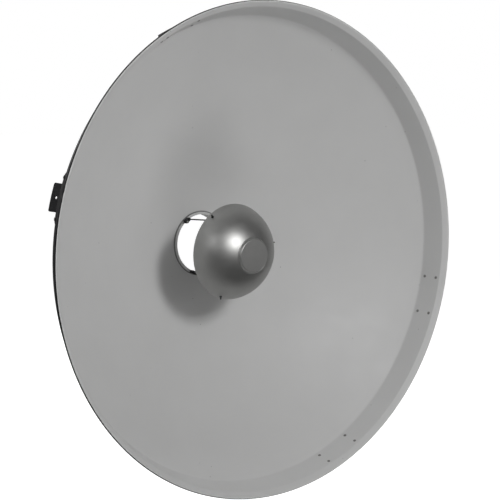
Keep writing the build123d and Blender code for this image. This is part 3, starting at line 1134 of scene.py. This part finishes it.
# ---- Rim brackets ------------------------------------------------------------------------------
@dataclass
class RimBrackets:
    """The four pressed brackets on the back of the band, and their rivets."""

    dish: Dish  # the dish that they sit on
    angles: tuple[float, ...] = (-15.1, -65.1, 164.9, 114.9)  # round the axis, in degrees
    thick: float = 2.0  # thickness of the plate
    length: float = 88.0  # of the base along the rim
    start: float = 4.5  # distance of the base's rear edge from the fold, up the band
    width: float = 33.0  # of the base, up the band
    corner: float = 6.0  # rounding of the base's corners
    tab_length: float = 49.0  # of the tab along the rim
    tab_reach: float = 18.5  # how far the tab stands out behind the base
    tab_lean: float = 14.0  # of the tab outwards, in degrees
    tab_corner: float = 3.0  # rounding of the tab's corners
    bend: float = 6.0  # bend radius between base and tab
    hole_radius: float = 2.6  # of the tab's hole
    hole_reach: float = 6.6  # of the hole's middle from the tab's root
    hole_field: float = 5.4  # half the width of the square of faces round the hole
    rivet_spacing: float = 71.5  # along the rim
    rivet_row_spacing: float = 25.0  # up the band
    head: Pair = (2.8, 1.1)  # radius and height of a rivet's head
    tail: Pair = (3.2, 1.8)  # radius and height of its turned tail
    shank: float = 1.6  # radius of its shank
    lift: float = 0.03  # of its head over the band, and of its tail over the plate
    dimple: float = 0.7  # radius of the dimple in its head
    pressed: float = 0.4  # bevel of the plate's edges

    @property
    def circle(self) -> float:
        """Radius of the band under the middle of a bracket."""
        return self.dish.band_point(self.start + self.width / 2, 0)[0]

    def section(self) -> Array:
        """The outer face's line across a bracket, from the tab's end to the base's front edge.

        Returns:
            One row for each point: its distance from the root, its radius and its height.
        """
        behind = self.dish.sheet + self.thick
        root = self.dish.band_point(self.start, behind)
        lean = math.radians(self.tab_lean)
        end = (root[0] + self.tab_reach * math.sin(lean), root[1] - self.tab_reach * math.cos(lean))
        front = self.dish.band_point(self.start + self.width, behind)
        line = rounded([end, root, front], [self.bend], 8)
        steps = np.linalg.norm(np.diff(line, axis=0), axis=1)
        along = np.concatenate([[0], np.cumsum(steps)])
        share = (along[1] + along[-2]) / 2
        return np.column_stack([along - share, line])

    def pattern(self) -> tuple[Array, Array, Array]:
        """The flat plate as a grid: a base, and a narrower tab behind its middle, with one hole.

        A row's half width falls near a rounded end by the corner radius less the circle's height
        there.  The square of faces round the hole is drawn in from its outline to the circle.

        Returns:
            The distance along the rim, the distance from the root, and which faces are there.
        """
        half, tab = self.length / 2, self.tab_length / 2
        field_half, middle = self.hole_field, -self.hole_reach
        ear = np.linspace(0, 1, 13)
        core = np.concatenate([
            np.linspace(-tab, -field_half, 7)[:-1],
            np.linspace(-field_half, field_half, 17),
            np.linspace(field_half, tab, 7)[1:],
        ])
        near = 1 - np.cos(np.radians(np.linspace(0, 90, 7)))
        base_rows = np.concatenate([
            self.corner * near, np.linspace(self.corner, self.width - self.corner, 9)[1:-1],
            self.width - self.corner * near[::-1],
        ])
        tab_rows = np.concatenate([
            -self.tab_reach + self.tab_corner * near[:-1],
            np.linspace(-self.tab_reach + self.tab_corner, middle - field_half, 3)[:-1],
            np.linspace(middle - field_half, middle + field_half, 17),
            [0.4 * (middle + field_half)],  # one row between the hole's square and the root
        ])
        across = np.concatenate([tab_rows, base_rows])
        to_end = np.where(across < 0, across + self.tab_reach, np.minimum(across, self.width - across))
        bend = np.where(across < 0, self.tab_corner, self.corner)
        short = np.clip(bend - to_end, 0, None)
        drop = bend - np.sqrt(bend**2 - short**2)
        core_half = np.where(across < 0, tab - drop, tab)[:, None]
        ear_half = np.where(across < 0, tab + 1, half - drop)[:, None]
        centre = core[None, :] / tab * core_half
        left = -ear_half + ear[None, :-1] * (ear_half - tab)
        along = np.concatenate([left, centre, -left[:, ::-1]], axis=1)
        across = np.repeat(across[:, None], along.shape[1], axis=1)
        x, y = along / field_half, (across - middle) / field_half
        ring, near_zero = np.maximum(np.abs(x), np.abs(y)), 1e-9
        inside = (ring < 1 - near_zero) & (ring > near_zero)
        safe = np.where(inside, ring, 1)
        wide = np.abs(x) >= np.abs(y)
        major, minor = np.where(wide, x, y), np.where(wide, y, x)
        slant = minor / np.where(major == 0, 1, major)
        quarter = np.where(wide, np.where(x > 0, 0, 180), np.where(y > 0, 90, 270))
        angle = np.radians(quarter + 45 * slant * np.where(wide, 1, -1))
        blend = np.clip((safe - 0.5) / 0.5, 0, 1)
        draw_x = (1 - blend) * self.hole_radius * np.cos(angle) + blend * field_half * x / safe
        draw_y = (1 - blend) * self.hole_radius * np.sin(angle) + blend * field_half * y / safe
        along = np.where(inside, draw_x, along)
        across = np.where(inside, draw_y + middle, across)
        face_x, face_y = ((part[:-1, :-1] + part[1:, 1:]) / 2 for part in (x, y))
        there = np.maximum(np.abs(face_x), np.abs(face_y)) > 0.5
        there[:len(tab_rows), :len(ear) - 1] = False
        there[:len(tab_rows), -len(ear) + 1:] = False
        return along, across, there

    def plate(self, angle: float) -> Surface:
        """The outer face of one bracket, bent round the dish axis.

        A point of the flat plate goes to the section's radius and height at its distance from the
        root, and to the angle of its distance along the rim over the radius of the band.

        Args:
            angle: The bracket's angle round the axis.

        Returns:
            The open surface, which faces away from the axis.
        """
        along, across, there = self.pattern()
        section = self.section()
        radius = np.interp(across, section[:, 0], section[:, 1])
        height = np.interp(across, section[:, 0], section[:, 2])
        turned = math.radians(angle) + along / self.circle
        grid = carried_round(radius, height, turned)
        numbers = np.arange(along.size).reshape(along.shape)
        faces = np.stack(
            [numbers[:-1, :-1], numbers[:-1, 1:], numbers[1:, 1:], numbers[1:, :-1]], axis=2
        )[there]
        return compact(grid.reshape(-1, 3), faces, np.zeros(len(faces), int))

    def rivet_places(self, angle: float) -> list[Matrix]:
        """The four rivets of a bracket, on the band's front face, with z straight out of it.

        Args:
            angle: The bracket's angle round the axis.

        Returns:
            Their places as matrices.
        """
        half_turn = math.degrees(self.rivet_spacing / 2 / self.circle)
        places = []
        for side in (-1, 1):
            for row in (-1, 1):
                up = self.start + self.width / 2 + row * self.rivet_row_spacing / 2
                radius, height = self.dish.band_point(up, 0)
                place = turn("Z", angle + side * half_turn) @ shift(radius, 0, height)
                places.append(place @ turn("Y", -self.dish.band_slope))
        return places

    def rivet(self) -> Surface:
        """One rivet: a low dome with a small dimple in front, a shank, and a turned tail behind.

        Returns:
            The closed surface, with z = 0 on the band's front face.
        """
        (head, head_high), (tail, tail_high) = self.head, self.tail
        foot, back = self.lift, -self.dish.sheet - self.thick
        dome = np.radians(np.linspace(90, 0, 9))
        top = np.stack([head * np.cos(dome), foot + head_high * np.sin(dome)], axis=1)
        brink = foot + head_high * math.sqrt(1 - (self.dimple / head) ** 2)
        dimple = [(0, foot + head_high * 0.72), (0.45, foot + head_high * 0.76), (self.dimple, brink)]
        front = np.concatenate([dimple, top[top[:, 0] > self.dimple + 0.1]])
        end, pit = back - tail_high, back - tail_high * 0.7
        under = rounded(
            [(head, foot), (self.shank, foot), (self.shank, back - foot), (tail, back - foot),
             (tail, end), (0.8, end), (0.6, pit), (0, pit)], [0, 0, 0, 0.6, 0.15, 0.1], 4
        )[1:]
        return revolved(np.concatenate([front, under]), 32, poles=True)

    def build(self, made: Materials) -> None:
        """Makes the brackets and their rivets.

        Args:
            made: The material of each slot.
        """
        black, steel = Slot.BLACK_PAINT, Slot.RIVET_STEEL
        for number, angle in enumerate(self.angles, 1):
            name, node = f"edge_bracket_{number}", f"rim_bracket_{number}"
            plate = add_piece(name, self.plate(angle), [made[black]], Body.DISH, node)
            wall = plate.modifiers.new("plate", "SOLIDIFY")
            wall.thickness = self.thick * MM
            wall.offset = -1.0
            wall.use_even_offset = True
            edge = plate.modifiers.new("pressed_edges", "BEVEL")
            edge.width = self.pressed * MM
            edge.segments = 3
            edge.limit_method = "ANGLE"
            edge.angle_limit = math.radians(50)
            flat_faces(plate)
            rivets = joined(*(self.rivet().moved(place) for place in self.rivet_places(angle)))
            name, node = f"rivets_{number}", f"bracket_rivets_{number}"
            add_piece(name, rivets, [made[steel]], Body.DISH, node)


# ---- Studio ------------------------------------------------------------------------------------
@dataclass(frozen=True)
class Softbox:
    """A soft rectangular light that faces the dish."""

    name: str  # its name
    azimuth: float  # round the dish from the front, towards +X, in degrees
    elevation: float  # above the floor's level, in degrees
    distance: float  # from the dish, in rim radii
    width: float  # in rim radii
    height: float  # in rim radii
    power: float  # in watts
    fills: bool = True  # it lights the colour of surfaces
    gleams: bool = True  # it shows in shiny surfaces


@dataclass
class Studio:
    """The camera, the lights, the floor and the surroundings."""

    azimuth: float = -37.7  # of the camera round the dish, in degrees; 0 is straight in front
    elevation: float = 5.67  # of the camera
    distance: float = 6.0  # of the camera from the rim's plane, in rim radii
    aside: float = -0.089  # how far the camera is moved sideways, in rim radii
    above: float = 0.0088  # how far it is moved upwards, in rim radii
    lens: float = 107.75  # focal length in millimetres
    drop: float = 0.08  # of the floor under the dish, in rim radii
    floor_reach: float = 60.0  # from the middle of the floor to its edges, in rim radii
    floor_glow: float = 0.98  # brightness of the floor, as the camera sees it
    room_glow: float = 0.10  # brightness of the dim room round the dish
    # The soft lights.
    lights: tuple[Softbox, ...] = (
        Softbox("key_light", 9.0, 28.0, 6.0, 1.5, 1.5, 28.0, gleams=False),
        Softbox("key_gleam", -11.0, 24.0, 6.0, 2.4, 1.9, 38.0, fills=False),
        Softbox("key_spread", 8.0, 40.0, 6.0, 4.0, 4.0, 3.5, gleams=False),
        Softbox("front_fill", 4.0, 8.0, 6.0, 2.0, 2.0, 2.5, gleams=False),
        Softbox("left_fill", -76.0, 22.0, 5.0, 2.0, 3.0, 6.0, gleams=False),
        Softbox("rim_fill", -100.0, 8.0, 5.0, 2.0, 2.0, 52.0, gleams=False),
        Softbox("left_gleam", -72.0, 25.0, 5.0, 1.8, 1.8, 4.2, fills=False),
        Softbox("left_floor_fill", -60.0, -30.0, 6.0, 3.0, 3.0, 3.0, gleams=False),
        Softbox("floor_fill", 12.0, -62.0, 6.0, 3.0, 3.0, 13.5, gleams=False),
        Softbox("right_gleam", 42.0, -6.0, 6.0, 3.0, 3.0, 2.5),
        Softbox("back_fill", 150.0, 35.0, 6.0, 4.0, 3.0, 60.0, gleams=False),
        Softbox("back_gleam", 195.0, 35.0, 6.0, 4.0, 3.0, 40.0, fills=False),
    )

    def __post_init__(self) -> None:
        """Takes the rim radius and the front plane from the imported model."""
        low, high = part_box("dish_shell")
        self.radius = high.x
        self.front = Vector((0, low.y, 0))

    def direction(self, azimuth: float, elevation: float) -> Vector:
        """The way out from the dish: (sin a cos e, -cos a cos e, sin e).

        Args:
            azimuth: The angle a round the dish from the front, in degrees.
            elevation: The angle e above the floor's level, in degrees.

        Returns:
            A direction of length 1.
        """
        round_it, up = math.radians(azimuth), math.radians(elevation)
        level = math.cos(up)
        return Vector((math.sin(round_it) * level, -math.cos(round_it) * level, math.sin(up)))

    def aim(self, thing: bpy.types.Object, out: Vector, place: Vector) -> None:
        """Sets a camera or a light at a place, looking back along the way out from the dish.

        Args:
            thing: The camera or the light.
            out: The way out from the dish, of length 1.
            place: Its place from the middle of the rim's plane, in rim radii.
        """
        thing.location = self.front + place * self.radius
        thing.rotation_mode = "QUATERNION"
        thing.rotation_quaternion = (-out).to_track_quat("-Z", "Y")

    def add_camera(self) -> None:
        """Makes the camera and sets it as the scene's."""
        back = self.direction(self.azimuth, self.elevation)
        right = Vector((math.cos(math.radians(self.azimuth)), math.sin(math.radians(self.azimuth)), 0))
        data = bpy.data.cameras.new("camera")
        data.lens = self.lens
        camera = in_scene("camera", data)
        sideways, upwards = right * self.aside, back.cross(right) * self.above
        self.aim(camera, back, sideways + upwards + back * self.distance)
        bpy.context.scene.camera = camera

    def add_lights(self) -> None:
        """Makes the soft lights, all aimed at the middle of the dish."""
        for light in self.lights:
            data = bpy.data.lights.new(light.name, "AREA")
            data.shape = "RECTANGLE"
            data.size = light.width * self.radius
            data.size_y = light.height * self.radius
            data.energy = light.power
            lamp = in_scene(light.name, data)
            out = self.direction(light.azimuth, light.elevation)
            self.aim(lamp, out, out * light.distance)
            lamp.visible_diffuse = light.fills
            lamp.visible_glossy = light.gleams

    def add_floor(self) -> None:
        """Makes the plain pale floor, far wider than the dish, which shows but lights nothing."""
        half = self.floor_reach * self.radius
        level = -(1 + self.drop) * self.radius
        corners = [(x * half, y * half, level) for x, y in ((-1, -1), (1, -1), (1, 1), (-1, 1))]
        mesh = bpy.data.meshes.new("floor")
        mesh.from_pydata(corners, [], [(0, 1, 2, 3)])
        floor = in_scene("floor", mesh)
        material = bpy.data.materials.new("pale_floor")
        material.use_nodes = True
        tree = material.node_tree
        feed(tree, tree.nodes["Principled BSDF"], {
            "Base Color": (0.3, 0.3, 0.3),
            "Roughness": 0.9,
            "Emission Color": (1, 1, 1),
            "Emission Strength": self.floor_glow,
        })
        mesh.materials.append(material)
        floor.visible_diffuse = floor.visible_glossy = floor.visible_shadow = False

    def add_surroundings(self) -> None:
        """Makes the white backdrop, and the dim room that lights and is mirrored in the dish."""
        world = bpy.data.worlds.new("studio")
        bpy.context.scene.world = world
        world.use_nodes = True
        tree = world.node_tree
        tree.nodes.clear()
        room = add_node(tree, "ShaderNodeBackground", {"Strength": self.room_glow})
        backdrop = add_node(tree, "ShaderNodeBackground", {"Color": (1, 1, 1)})
        seen = add_node(tree, "ShaderNodeLightPath", {}).outputs["Is Camera Ray"]
        values = {"Fac": seen, 1: room.outputs[0], 2: backdrop.outputs[0]}
        mix = add_node(tree, "ShaderNodeMixShader", values)
        add_node(tree, "ShaderNodeOutputWorld", {"Surface": mix.outputs[0]})

    def build(self) -> None:
        """Makes the whole studio."""
        self.add_camera()
        self.add_lights()
        self.add_floor()
        self.add_surroundings()
        bpy.context.scene.view_settings.view_transform = "Standard"


# ---- The whole scene ---------------------------------------------------------------------------
def main() -> None:
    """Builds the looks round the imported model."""
    logging.basicConfig(level=logging.INFO, format="%(message)s")
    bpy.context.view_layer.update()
    Studio().build()
    made = {slot: finish.build() for slot, finish in FINISHES.items()}
    dish, bowl = Dish(), Bowl()
    for part in (dish, Hub(), bowl, Legs(bowl), RimBrackets(dish)):
        part.build(made)


if __name__ == "__main__":
    main()
